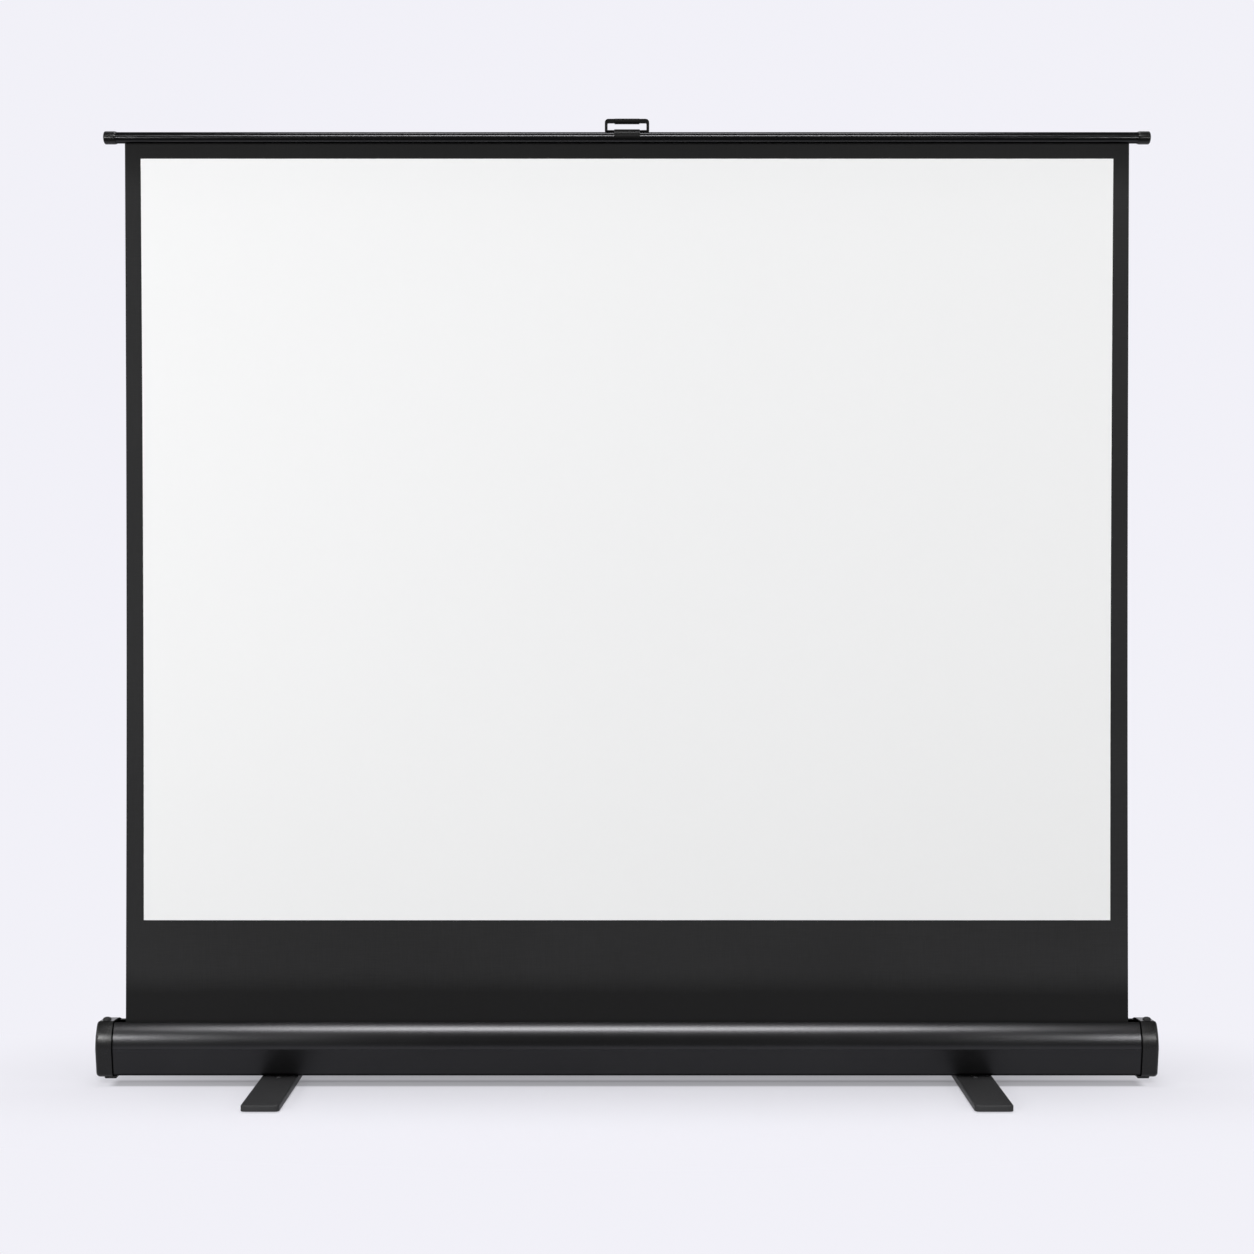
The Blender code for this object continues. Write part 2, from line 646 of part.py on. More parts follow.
def tooth(centre_angle):
    """One involute tooth, from the root on its near flank over the tip to the root on its far flank."""
    pressure = math.radians(PRESSURE_ANGLE)
    base = PIVOT_HALF_SPACING * math.cos(pressure)
    half_at_pitch = math.pi / (2 * TEETH_PER_TURN) - TOOTH_RELIEF / PIVOT_HALF_SPACING
    start = max(base, TOOTH_ROOT)
    flank = [TOOTH_ROOT] + [start + (TOOTH_TIP - start) * step / 4 for step in range(5)]
    middle = math.radians(centre_angle)
    near, far = [], []
    for radius in flank:
        roll = math.acos(min(1.0, base / radius))
        half = half_at_pitch + (math.tan(pressure) - pressure) - (math.tan(roll) - roll)
        near.append((radius * math.cos(middle - half), radius * math.sin(middle - half)))
        far.append((radius * math.cos(middle + half), radius * math.sin(middle + half)))
    return near + far[::-1]


def arm_outline(phase):
    """An arm along +X from its toothed pivot, its teeth on the far side and ahead by a share of a tooth."""
    pitch = 360 / TEETH_PER_TURN
    leave = math.degrees(math.asin(ARM_HALF_WIDTH / TOOTH_ROOT))
    meshing = 180 - ARM_RAISED_ANGLE
    first = meshing + (phase - 2) * pitch
    count = math.ceil(ARM_FOLD / pitch) + 4
    points = circle_arc((0.0, 0.0), TOOTH_ROOT, leave, first - pitch / 2, 3)
    for index in range(count):
        points += tooth(first + index * pitch)
    points += circle_arc((0.0, 0.0), TOOTH_ROOT, first + (count - 0.5) * pitch, 360 - leave, 9)
    points += circle_arc((ARM_LENGTH, 0.0), ARM_HALF_WIDTH, -90, 90, 8)
    return points


def make_arm(name, outline, pivot, angle, front, back):
    """An arm laid along +X, drilled at both ends and turned to its raised angle."""
    arm = prism(name, outline, "y", front, back, "satin_black")
    through = (front - SEAT_GAP, back + SEAT_GAP)
    for end, across in (("pivot", 0.0), ("elbow", ARM_LENGTH)):
        drill(arm, f"{name}_{end}_hole", PIN_RADIUS + PIN_GAP, "y", (across, 0.0), *through)
    arm.location = (pivot[0], 0.0, pivot[1])
    arm.rotation_euler = (0.0, -math.radians(angle), 0.0)
    return arm


def make_arms():
    far_side = arm_outline(0.5)
    near_side = [(across, -up) for across, up in reversed(arm_outline(0.0))]
    rise = ARM_RAISED_ANGLE
    lower = (LOWER_ARM_FRONT, LOWER_ARM_BACK)
    upper = (UPPER_ARM_FRONT, UPPER_ARM_BACK)
    apart = PIVOT_HALF_SPACING
    make_arm("lower_arm_left", near_side, (-apart, BASE_PIVOT_Z), 180 - rise, *lower)
    make_arm("lower_arm_right", far_side, (apart, BASE_PIVOT_Z), rise, *lower)
    make_arm("upper_arm_left", far_side, (-apart, TOP_PIVOT_Z), 180 + rise, *upper)
    make_arm("upper_arm_right", near_side, (apart, TOP_PIVOT_Z), -rise, *upper)
    for side, sign in (("left", -1), ("right", 1)):
        make_pins(side, sign)


def make_pins(side, sign):
    """The base, elbow and top pivots of one side."""
    pivot_x = sign * PIVOT_HALF_SPACING
    head_start = BASE_PLATE_BACK + SEAT_GAP
    head_end = head_start + PIN_HEAD_HEIGHT
    tip = LOWER_ARM_FRONT + SEAT_GAP
    base_pin = [
        (tip, 0.0), (tip, PIN_RADIUS), (head_start, PIN_RADIUS), (head_start, PIN_HEAD_RADIUS),
        (head_end, PIN_HEAD_RADIUS), (head_end, 0.0),
    ]
    turned(f"base_pin_{side}", base_pin, "y", (pivot_x, BASE_PIVOT_Z), "bright_steel", steps=16)

    start, end = TOP_PLATE_FRONT + SEAT_GAP, UPPER_ARM_BACK - SEAT_GAP
    top_pin = [(start, 0.0), (start, PIN_RADIUS), (end, PIN_RADIUS), (end, 0.0)]
    turned(f"top_pin_{side}", top_pin, "y", (pivot_x, TOP_PIVOT_Z), "bright_steel", steps=16)

    front = UPPER_ARM_FRONT - SEAT_GAP
    back = LOWER_ARM_BACK + SEAT_GAP
    front_end, back_end = front - PIN_HEAD_HEIGHT, back + PIN_HEAD_HEIGHT
    elbow_pin = [
        (front_end, 0.0), (front_end, PIN_HEAD_RADIUS), (front, PIN_HEAD_RADIUS), (front, PIN_RADIUS),
        (back, PIN_RADIUS), (back, PIN_HEAD_RADIUS), (back_end, PIN_HEAD_RADIUS), (back_end, 0.0),
    ]
    elbow = (sign * ELBOW_X, ELBOW_Z)
    pin = turned(f"elbow_pin_{side}", elbow_pin, "y", elbow, "bright_steel", steps=16)
    start, end = UPPER_ARM_BACK + SEAT_GAP, LOWER_ARM_FRONT - SEAT_GAP
    hole = PIN_RADIUS + PIN_GAP
    ring = [(start, hole), (start, ELBOW_WASHER_RADIUS), (end, ELBOW_WASHER_RADIUS), (end, hole)]
    washer = turned(f"elbow_washer_{side}", ring, "y", elbow, "natural_nylon", steps=16, closed=True)
    carry(joint_axis(f"elbow_axis_{side}", (sign * ELBOW_X, 0.0, ELBOW_Z)), pin, washer)


def make_base_bracket():
    """The bent plate that rises behind the roller, bridges it and holds the arms' base pivots."""
    gauge, inside, outside = BASE_GAUGE, BEND_RADIUS, BEND_RADIUS + BASE_GAUGE
    floor = CASE_BOTTOM + CASE_WALL + SEAT_GAP
    shelf = ROLL_TOP + BRACKET_SPACE
    web = BRACKET_WEB_Y
    toe = web + BASE_FLANGE
    top = BASE_PIVOT_Z + BASE_PLATE_RISE
    outline = rounded([
        (BASE_PLATE_FRONT, top, 0), (BASE_PLATE_FRONT, shelf, outside), (web, shelf, inside),
        (web, floor, outside), (toe, floor, 0), (toe, floor + gauge, 0), (web + gauge, floor + gauge, inside),
        (web + gauge, shelf + gauge, outside), (BASE_PLATE_BACK, shelf + gauge, inside),
        (BASE_PLATE_BACK, top, 0),
    ])
    bracket = prism("arm_base_bracket", outline, "x", -BASE_HALF_LENGTH, BASE_HALF_LENGTH, "satin_black")
    for side, sign in (("left", -1), ("right", 1)):
        pivot = (sign * PIVOT_HALF_SPACING, BASE_PIVOT_Z)
        ends = (BASE_PLATE_FRONT - SEAT_GAP, BASE_PLATE_BACK + SEAT_GAP)
        drill(bracket, f"base_pin_hole_{side}", PIN_RADIUS + SEAT_GAP, "y", pivot, *ends)
        place = (sign * BRACKET_SCREW_X, BRACKET_SCREW_Y)
        ends = (floor - SEAT_GAP, floor + gauge + SEAT_GAP)
        drill(bracket, f"base_flange_hole_{side}", SCREW_RADIUS + SEAT_GAP, "z", place, *ends)
        make_screw(f"bracket_screw_{side}", "z", place, CASE_BOTTOM, floor + gauge + SEAT_GAP)


def make_screw(name, axis, centre, tip, seat):
    """A round-headed screw along an axis, from its tip to the face that its head bears on."""
    rim = seat + SCREW_HEAD_HEIGHT / 2
    crown = arc((0.0, rim), (SCREW_HEAD_RADIUS, SCREW_HEAD_HEIGHT / 2), 0, 90, 3)
    profile = [(tip, 0.0), (tip, SCREW_RADIUS), (seat, SCREW_RADIUS), (seat, SCREW_HEAD_RADIUS)]
    profile += [(height, radius) for radius, height in crown]
    turned(name, profile, axis, centre, "bright_steel", steps=14)


# Top bar

def make_top_bar():
    centre = (FABRIC_Y, BAR_Z)
    inner = BAR_RADIUS - BAR_WALL
    mouth = math.degrees(math.asin(BAR_SLOT / 2 / BAR_RADIUS))
    inner_mouth = math.degrees(math.asin(BAR_SLOT / 2 / inner))
    section = circle_arc(centre, BAR_RADIUS, -90 + mouth, 270 - mouth, 26)
    section += circle_arc(centre, inner, 270 - inner_mouth, -90 + inner_mouth, 18)
    tube_half = BAR_HALF - BAR_CAP_FLOOR - SEAT_GAP
    tube = prism("top_bar_tube", section, "x", -tube_half, tube_half, "satin_black")

    for side, sign in (("left", -1), ("right", 1)):
        end = BAR_HALF
        start = end - BAR_CAP_LENGTH
        floor = end - BAR_CAP_FLOOR
        seat = BAR_RADIUS + SEAT_GAP
        profile = [
            (floor, 0.0), (floor, seat), (start, seat), (start, seat + BAR_CAP_WALL / 2),
            (start + BAR_CAP_TAPER, BAR_CAP_RADIUS),
        ]
        round_end = arc((end - BAR_CAP_EDGE, 0.0), (BAR_CAP_EDGE, BAR_CAP_RADIUS), 75, 0, 5)
        profile += [(end - BAR_CAP_EDGE, BAR_CAP_RADIUS)] + round_end[:-1] + [(end, 0.0)]
        profile = [(sign * along, radius) for along, radius in profile]
        turned(f"top_bar_cap_{side}", profile, "x", centre, "moulded_black", steps=24)

    spline_z = BAR_Z - SPLINE_DROP
    rod("hem_spline", SPLINE_RADIUS, tube_half - SEAT_GAP, (FABRIC_Y, spline_z), "natural_nylon", steps=12)
    front, back = FABRIC_Y - BACKING_THICKNESS / 2, FABRIC_Y + BACKING_THICKNESS / 2
    hem_top = spline_z - SPLINE_RADIUS - SEAT_GAP
    sheet("top_hem", FABRIC_WIDTH, front, back, VIEW_TOP + SEAT_GAP, hem_top, "black_fabric")
    make_top_bracket(centre, tube)


def make_top_bracket(centre, tube):
    """The clip behind the bar whose plate hangs down behind the screen and holds the arms' top pivots."""
    inner = BAR_RADIUS + SEAT_GAP
    outer = inner + TOP_GAUGE
    front, back = TOP_PLATE_FRONT - FABRIC_Y, TOP_PLATE_BACK - FABRIC_Y
    low = TOP_PIVOT_Z - TOP_PLATE_FOOT
    outline = [(TOP_PLATE_FRONT, low), (TOP_PLATE_BACK, low)]
    outline += circle_arc(centre, outer, -math.degrees(math.acos(back / outer)), TOP_CLIP_ANGLE, 8)
    outline += circle_arc(centre, inner, TOP_CLIP_ANGLE, -math.degrees(math.acos(front / inner)), 10)
    bracket = prism("arm_top_bracket", outline, "x", -TOP_HALF_LENGTH, TOP_HALF_LENGTH, "satin_black")
    for side, sign in (("left", -1), ("right", 1)):
        place = (sign * BAR_SCREW_X, BAR_Z)
        tip = FABRIC_Y + BAR_RADIUS - 2 * BAR_WALL
        seat = FABRIC_Y + outer + SEAT_GAP
        drill(tube, f"bar_screw_hole_{side}", SCREW_RADIUS + SEAT_GAP, "y", place, tip, seat)
        drill(bracket, f"clip_screw_hole_{side}", SCREW_RADIUS + SEAT_GAP, "y", place, tip, seat)
        make_screw(f"bar_screw_{side}", "y", place, tip, seat)
        pivot = (sign * PIVOT_HALF_SPACING, TOP_PIVOT_Z)
        ends = (TOP_PLATE_FRONT - SEAT_GAP, TOP_PLATE_BACK + SEAT_GAP)
        drill(bracket, f"top_pin_hole_{side}", PIN_RADIUS + SEAT_GAP, "y", pivot, *ends)


# Handle

def make_handle():
    hinge = (FABRIC_Y, HINGE_Z)
    clip = BAR_RADIUS + SEAT_GAP
    saddle_half = SADDLE_LENGTH / 2
    bar = (FABRIC_Y, BAR_Z)
    outline = circle_arc(bar, clip + SADDLE_WALL, SADDLE_REAR_ANGLE, SADDLE_FRONT_ANGLE, 10)
    outline += circle_arc(bar, clip, SADDLE_FRONT_ANGLE, SADDLE_REAR_ANGLE, 10)
    saddle = prism("handle_saddle", outline, "x", -saddle_half, saddle_half, "moulded_black")
    barrel = rod("saddle_barrel", SADDLE_BARREL, saddle_half - SEAT_GAP, hinge, "moulded_black", steps=20)
    combine(saddle, barrel, "UNION")
    cut_end = saddle_half + SADDLE_WALL
    drill(saddle, "saddle_bar_clearance", clip, "x", bar, -cut_end, cut_end)
    drill(saddle, "saddle_bore", HINGE_RADIUS + PIN_GAP, "x", hinge, -cut_end, cut_end)

    half, inner = HANDLE_WIDTH / 2, HANDLE_WIDTH / 2 - HANDLE_LEG
    leg_end = HINGE_Z - HINGE_RADIUS / 4
    top, under = HINGE_Z + HANDLE_HEIGHT, HINGE_Z + HANDLE_HEIGHT - HANDLE_RAIL
    frame = rounded([
        (inner, leg_end, 0), (half, leg_end, 0), (half, top, HANDLE_CORNER), (-half, top, HANDLE_CORNER),
        (-half, leg_end, 0), (-inner, leg_end, 0), (-inner, under, HANDLE_INNER_CORNER),
        (inner, under, HANDLE_INNER_CORNER),
    ], segments=4)
    depth = (FABRIC_Y - HANDLE_DEPTH / 2, FABRIC_Y + HANDLE_DEPTH / 2)
    bail = prism("handle_bail", frame, "y", *depth, "moulded_black")
    rail = rod("handle_rail", HINGE_RADIUS, half - SEAT_GAP, hinge, "moulded_black", steps=18)
    combine(bail, rail, "UNION")
    grip_z = top + GRIP_CROWN - GRIP_HEIGHT / 2
    grip = rounded_box(GRIP_DEPTH, GRIP_HEIGHT, GRIP_ROUND, (FABRIC_Y, grip_z))
    grip_ends = (-GRIP_LENGTH / 2, GRIP_LENGTH / 2)
    combine(bail, prism("handle_grip", grip, "x", *grip_ends, "moulded_black"), "UNION")
    carry(joint_axis("handle_axis", (0.0, FABRIC_Y, HINGE_Z)), bail)


# Feet

def make_foot(side, sign):
    pivot = (sign * FOOT_X, 0.0)
    outline = rounded_box(FOOT_WIDTH, FOOT_LENGTH, FOOT_CORNER_RADIUS, pivot)
    foot = prism(f"foot_{side}", outline, "z", FOOT_BOTTOM, FOOT_TOP, "satin_black")
    bevel_top_edges(foot, FOOT_TOP, FOOT_EDGE_BEVEL)
    head_low = FOOT_BOTTOM + PIVOT_HEAD_RECESS
    head_high = head_low + PIVOT_HEAD_HEIGHT
    recess_top = head_high + SEAT_GAP
    recess = PIVOT_HEAD_RADIUS + PIN_GAP
    drill(foot, f"foot_recess_{side}", recess, "z", pivot, FOOT_BOTTOM - PIVOT_HEAD_RECESS, recess_top)
    drill(foot, f"foot_hole_{side}", PIVOT_BOLT_RADIUS + PIN_GAP, "z", pivot, head_low, FOOT_TOP + SEAT_GAP)

    bolt_top = CASE_BOTTOM + CASE_WALL
    bolt = [
        (head_low, 0.0), (head_low, PIVOT_HEAD_RADIUS), (head_high, PIVOT_HEAD_RADIUS),
        (head_high, PIVOT_BOLT_RADIUS), (bolt_top, PIVOT_BOLT_RADIUS), (bolt_top, 0.0),
    ]
    turned(f"foot_bolt_{side}", bolt, "z", pivot, "bright_steel", steps=20)
    low = FOOT_TOP + SEAT_GAP
    hole = PIVOT_BOLT_RADIUS + SEAT_GAP
    high = low + WASHER_HEIGHT
    ring = [(low, hole), (low, WASHER_RADIUS), (high, WASHER_RADIUS), (high, hole)]
    turned(f"foot_washer_{side}", ring, "z", pivot, "natural_nylon", steps=20, closed=True)

    dome = arc((0.0, low), (STUD_RADIUS, STUD_HEIGHT), 0, 90, 4)
    stud = [(low, 0.0)] + [(height, radius) for radius, height in dome]
    moving = [foot, turned(f"foot_stud_{side}", stud, "z", (pivot[0], -STUD_REACH), "bright_steel", steps=14)]
    pad_y = FOOT_LENGTH / 2 - PAD_INSET - PAD_LENGTH / 2
    for place, end in (("front", -1), ("rear", 1)):
        pad = rounded_box(PAD_WIDTH, PAD_LENGTH, PAD_HEIGHT, (pivot[0], end * pad_y))
        moving.append(prism(f"foot_pad_{side}_{place}", pad, "z", 0.0, PAD_HEIGHT, "rubber"))
    carry(joint_axis(f"foot_axis_{side}", (*pivot, 0.0)), *moving)


def bevel_top_edges(piece, height, width):
    """Rounds the edges round a piece's top face."""
    bm = bmesh.new()
    bm.from_mesh(piece.data)
    rim = [vert for vert in bm.verts if abs(vert.co.z - height) < MERGE_DISTANCE]
    edges = [edge for edge in bm.edges if all(vert in rim for vert in edge.verts)]
    bmesh.ops.bevel(bm, geom=edges, offset=width, segments=3, profile=0.5, affect="EDGES", material=-1)
    bm.to_mesh(piece.data)
    bm.free()


def main():
    for leftover in list(bpy.data.objects):
        bpy.data.objects.remove(leftover, do_unlink=True)
    make_casing()
    make_roller()
    make_screen()
    make_base_bracket()
    make_arms()
    make_top_bar()
    make_handle()
    for side, sign in (("left", -1), ("right", 1)):
        make_end_cap(side, sign)
        make_foot(side, sign)
    print(f"arms {ARM_LENGTH:.4f} m fold {ARM_FOLD:.3f} degrees, bar {BAR_Z:.4f} m to {LOWERED_BAR_Z:.4f} m")


main()
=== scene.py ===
# %% [markdown]
# # A pull-up projection screen
#
# A spring roller lies in a long casing on the floor. Its screen is pulled up by a handle on the top
# bar, and folding arms behind the screen hold it there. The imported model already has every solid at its
# real size, with its joints. This lesson dresses that model: it keeps each solid in its place, and adds
# what a photograph shows and a plain solid does not, such as cloth that is drawn in by its own tension,
# rounded edges and finishes with grain.

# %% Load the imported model
import json
import math

import bmesh
import bpy
from mathutils import Matrix, Vector


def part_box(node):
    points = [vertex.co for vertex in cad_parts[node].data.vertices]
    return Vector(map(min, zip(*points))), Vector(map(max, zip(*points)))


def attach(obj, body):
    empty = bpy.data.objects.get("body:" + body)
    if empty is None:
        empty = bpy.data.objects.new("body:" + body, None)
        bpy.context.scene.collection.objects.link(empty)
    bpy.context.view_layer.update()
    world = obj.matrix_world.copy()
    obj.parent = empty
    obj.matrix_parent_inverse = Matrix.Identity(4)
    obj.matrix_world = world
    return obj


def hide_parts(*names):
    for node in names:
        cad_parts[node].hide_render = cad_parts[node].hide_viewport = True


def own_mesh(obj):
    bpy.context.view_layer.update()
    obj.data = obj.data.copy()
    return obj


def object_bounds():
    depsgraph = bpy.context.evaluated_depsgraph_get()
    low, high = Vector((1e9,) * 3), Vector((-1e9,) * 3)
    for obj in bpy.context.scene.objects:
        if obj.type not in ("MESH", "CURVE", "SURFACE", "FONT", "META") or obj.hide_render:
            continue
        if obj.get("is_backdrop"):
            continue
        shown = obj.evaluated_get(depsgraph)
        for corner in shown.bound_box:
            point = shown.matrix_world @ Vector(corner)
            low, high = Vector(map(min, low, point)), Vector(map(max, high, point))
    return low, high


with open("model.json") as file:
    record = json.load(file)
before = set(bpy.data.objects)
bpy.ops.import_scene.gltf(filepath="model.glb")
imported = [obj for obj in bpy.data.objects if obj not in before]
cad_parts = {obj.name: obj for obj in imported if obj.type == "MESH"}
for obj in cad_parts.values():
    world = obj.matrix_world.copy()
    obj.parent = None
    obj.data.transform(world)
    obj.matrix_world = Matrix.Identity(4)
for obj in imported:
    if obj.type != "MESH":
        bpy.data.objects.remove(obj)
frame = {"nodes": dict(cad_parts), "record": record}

nodes = frame["nodes"]
scene = bpy.context.scene
cad_low, cad_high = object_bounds()
cad_size = cad_high - cad_low
print(f"{cad_size.x:.3f} m wide, {cad_size.z:.3f} m tall")

# %% [markdown]
# ## The camera
#
# The camera could be aimed by eye, but the photograph gives enough to work it out: the corners of the
# white area, the ends of the bar and the fronts of the feet are known in metres and in pixels. A fit
# over them puts the lens a little above the middle of the screen and almost level. The rest of the
# framing is a small shift, so upright edges stay upright.

# %% Set up the camera
PHOTO_PIXELS = 1254
FOCAL_PIXELS = 1890.8
OPTICAL_AXIS_ROW = 592.1
CAMERA_DISTANCE = 3.195
CAMERA_HEIGHT = 0.837
CAMERA_PITCH = 0.2

lens_data = bpy.data.cameras.new("photo_camera")
lens_data.lens = FOCAL_PIXELS / PHOTO_PIXELS * lens_data.sensor_width
lens_data.shift_y = (OPTICAL_AXIS_ROW - PHOTO_PIXELS / 2) / PHOTO_PIXELS
camera = bpy.data.objects.new("photo_camera", lens_data)
camera.location = (0.0, -CAMERA_DISTANCE, CAMERA_HEIGHT)
camera.rotation_euler = (math.radians(90 - CAMERA_PITCH), 0.0, 0.0)
scene.collection.objects.link(camera)
scene.camera = camera
scene.view_settings.view_transform = "Standard"
print(f"lens {lens_data.lens:.2f} mm, shift {lens_data.shift_y:.4f}")

# %% [markdown]
# ## Shader maths
#
# A finish is a small calculation at each point of a surface. Wiring every Math node by hand hides the
# calculation, so this class wraps a socket and lets Python's own operators add the nodes. All other
# nodes come from its one method `make`, which sets a node's options first and then its sockets.

# %% Write shader maths as expressions
class Field:
    """A socket in a node tree, with arithmetic that adds Math nodes."""

    def __init__(self, tree, socket=None):
        self.tree = tree
        self.socket = socket

    def make(self, kind, settings=None, sockets=None, output=0):
        node = self.tree.nodes.new(kind)
        for name, value in (settings or {}).items():
            if name == "stops":
                for stop, (position, colour) in zip(node.color_ramp.elements, value):
                    stop.position = position
                    stop.color = (*colour, 1.0)
            else:
                setattr(node, name, value)
        for name, value in (sockets or {}).items():
            if isinstance(value, Field):
                self.tree.links.new(value.socket, node.inputs[name])
            else:
                node.inputs[name].default_value = value
        return Field(self.tree, node.outputs[output])

    def into(self, node, name):
        self.tree.links.new(self.socket, node.inputs[name])

    def maths(self, operation, first, second):
        return self.make("ShaderNodeMath", {"operation": operation}, {0: first, 1: second})

    def larger(self, other):
        return self.maths("MAXIMUM", self, other)

    def __add__(self, other):
        return self.maths("ADD", self, other)

    def __sub__(self, other):
        return self.maths("SUBTRACT", self, other)

    def __rsub__(self, other):
        return self.maths("SUBTRACT", other, self)

    def __mul__(self, other):
        return self.maths("MULTIPLY", self, other)

    __radd__ = __add__
    __rmul__ = __mul__


print("fields are ready")

# %% [markdown]
# ## The studio
#
# The photograph has one pale lavender-grey tone from the floor to the top, with a soft shadow under the
# casing. A lit backdrop never comes out that even, so here the world shows the tone itself to the
# camera. Reflections show the same tone on the backdrop's side. The end of the room behind the camera
# is dim, as the dark stripes on the casing and the bar tell.

# %% Light the room evenly
BACKDROP = (0.885, 0.879, 0.938, 1.0)
BACKDROP_SIDE = (0.0, 0.4)
ROOM_LIGHT = 0.2


def ramp_up(value, start, end):
    """Zero below the start, one above the end, and a smooth rise between them."""
    sockets = {"Value": value, "From Min": start, "From Max": end}
    return value.make("ShaderNodeMapRange", {"interpolation_type": "SMOOTHSTEP"}, sockets)


def shown_tone(tree, backdrop_side):
    """How far a ray sees the backdrop's tone: all of it from the camera, or mirrored on its side."""
    path = tree.nodes.new("ShaderNodeLightPath")
    names = ("Is Camera Ray", "Is Glossy Ray", "Is Transmission Ray")
    direct, mirrored, through = [Field(tree, path.outputs[name]) for name in names]
    return direct.larger(mirrored.larger(through) * backdrop_side)


room = bpy.data.worlds.new("studio")
scene.world = room
room.use_nodes = True
room.node_tree.nodes.clear()
air = Field(room.node_tree)
heading = air.make("ShaderNodeTexCoord", output="Generated")
backward = air.make("ShaderNodeSeparateXYZ", {}, {0: heading}, output="Y")
glow = air.make("ShaderNodeBackground", {}, {"Color": (1.0, 1.0, 1.0, 1.0), "Strength": ROOM_LIGHT})
tone = air.make("ShaderNodeBackground", {}, {"Color": BACKDROP, "Strength": 1.0})
shown = shown_tone(room.node_tree, ramp_up(backward, *BACKDROP_SIDE))
mixed = air.make("ShaderNodeMixShader", {}, {0: shown, 1: glow, 2: tone})
mixed.into(room.node_tree.nodes.new("ShaderNodeOutputWorld"), "Surface")
print(f"room light {ROOM_LIGHT}")

# %% [markdown]
# ### The floor
#
# The far floor shows the backdrop's tone, and in a long oval round the casing it mixes the tone with
# its real shading, so that the shadow stays. Light that bounces off the floor finds it dark, because
# pale paper would light the screen from below and put a bright line on the casing's seam. The
# photograph's shadow ends in a crisp line below the casing's front. The lamps here shine a little way
# in under the casing, so a painted shadow darkens a strip of the floor there.

# %% Lay the floor
FLOOR_HALF = 20.0

floor_mesh = bmesh.new()
bmesh.ops.create_grid(floor_mesh, x_segments=1, y_segments=1, size=FLOOR_HALF)
floor_data = bpy.data.meshes.new("studio_floor")
floor_mesh.to_mesh(floor_data)
floor_mesh.free()
floor = bpy.data.objects.new("studio_floor", floor_data)
scene.collection.objects.link(floor)
floor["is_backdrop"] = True
print(f"floor {2 * FLOOR_HALF:.0f} m wide")

# %% Shade the floor
OVAL_SQUEEZE = 0.33
SHADOW_NEAR = 0.15
SHADOW_FAR = 0.5
SHADOW_SHARE = 0.66
PAPER_END = -0.45
LIT_PAPER = (0.814, 0.809, 0.863, 1.0)
BARE_FLOOR = (0.12, 0.12, 0.12, 1.0)

paper = bpy.data.materials.new("studio_paper")
paper.use_nodes = True
paper.node_tree.nodes.clear()
ground = Field(paper.node_tree)
spot = ground.make("ShaderNodeTexCoord", output="Object")
oval = ground.make("ShaderNodeMapping", {}, {"Vector": spot, "Scale": (OVAL_SQUEEZE, 1.0, 1.0)})
away = ground.make("ShaderNodeVectorMath", {"operation": "LENGTH"}, {0: oval}, output="Value")
rearward = ground.make("ShaderNodeSeparateXYZ", {}, {0: spot}, output="Y")
near = 1 - ramp_up(away, SHADOW_NEAR, SHADOW_FAR)
shown = shown_tone(paper.node_tree, ramp_up(rearward, 2 * PAPER_END, PAPER_END))
cover = ground.make("ShaderNodeMixRGB", {}, {"Fac": shown, "Color1": BARE_FLOOR, "Color2": LIT_PAPER})
matt = ground.make("ShaderNodeBsdfDiffuse", {}, {"Color": cover})
even = ground.make("ShaderNodeEmission", {}, {"Color": BACKDROP, "Strength": 1.0})
share = shown * (1 - SHADOW_SHARE * near)
lit_floor = ground.make("ShaderNodeMixShader", {}, {0: share, 1: matt, 2: even})
print(f"real shading up to {SHADOW_FAR} m away, and {1 / OVAL_SQUEEZE:.0f} times as far sideways")

# %% Paint a shadow strip under the casing
PAINTED_SHADOW_SOFTNESS = 0.01
PAINTED_SHADOW_DARKNESS = 0.4
BLACK = (0.0, 0.0, 0.0, 1.0)

casing_low, casing_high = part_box("casing_base")
sideways = ground.make("ShaderNodeSeparateXYZ", {}, {0: spot}, output="X")
outward = sideways.larger(-1 * sideways)
# Painted shadow: the floor under the front half of the casing is mixed towards black.
inside = ramp_up(rearward, casing_low.y, casing_low.y + PAINTED_SHADOW_SOFTNESS)
deeper = ramp_up(rearward, -PAINTED_SHADOW_SOFTNESS, PAINTED_SHADOW_SOFTNESS)
beyond = ramp_up(outward, casing_high.x - PAINTED_SHADOW_SOFTNESS, casing_high.x + PAINTED_SHADOW_SOFTNESS)
painted_shadow_strip = PAINTED_SHADOW_DARKNESS * inside * (1 - deeper) * (1 - beyond)
painted_shadow_ink = ground.make("ShaderNodeBsdfDiffuse", {}, {"Color": BLACK})
floor_shader = ground.make("ShaderNodeMixShader", {}, {0: painted_shadow_strip, 1: lit_floor, 2: painted_shadow_ink})
floor_shader.into(paper.node_tree.nodes.new("ShaderNodeOutputMaterial"), "Surface")
floor_data.materials.append(paper)
print(f"the darker strip starts at {casing_low.y:.4f} m")

# %% [markdown]
# ## The lamps
#
# The satin casing tells where the lamps stood. One bright band runs along the upper front in the
# middle, and a lower one near each end. On a surface that curves only upwards, each band lies where the
# surface faces halfway between the lens and a lamp, so the first comes from a wide softbox above the
# camera, and the others from a softbox on each side. A softbox overhead throws the shadow under the
# casing, and two wide and weak ones further out fill in the white.

# %% Place the softboxes
def softbox(name, place, aim, size, power):
    """A rectangular lamp at a place, turned to face a point."""
    data = bpy.data.lights.new(name, "AREA")
    data.shape = "RECTANGLE"
    data.size, data.size_y = size
    data.energy = power
    lamp = bpy.data.objects.new(name, data)
    lamp.location = place
    lamp.rotation_euler = (Vector(aim) - Vector(place)).to_track_quat("-Z", "Y").to_euler()
    scene.collection.objects.link(lamp)


SIDE_SIZE = (0.6, 0.5)
FILL_SIZE = (2.4, 2.0)

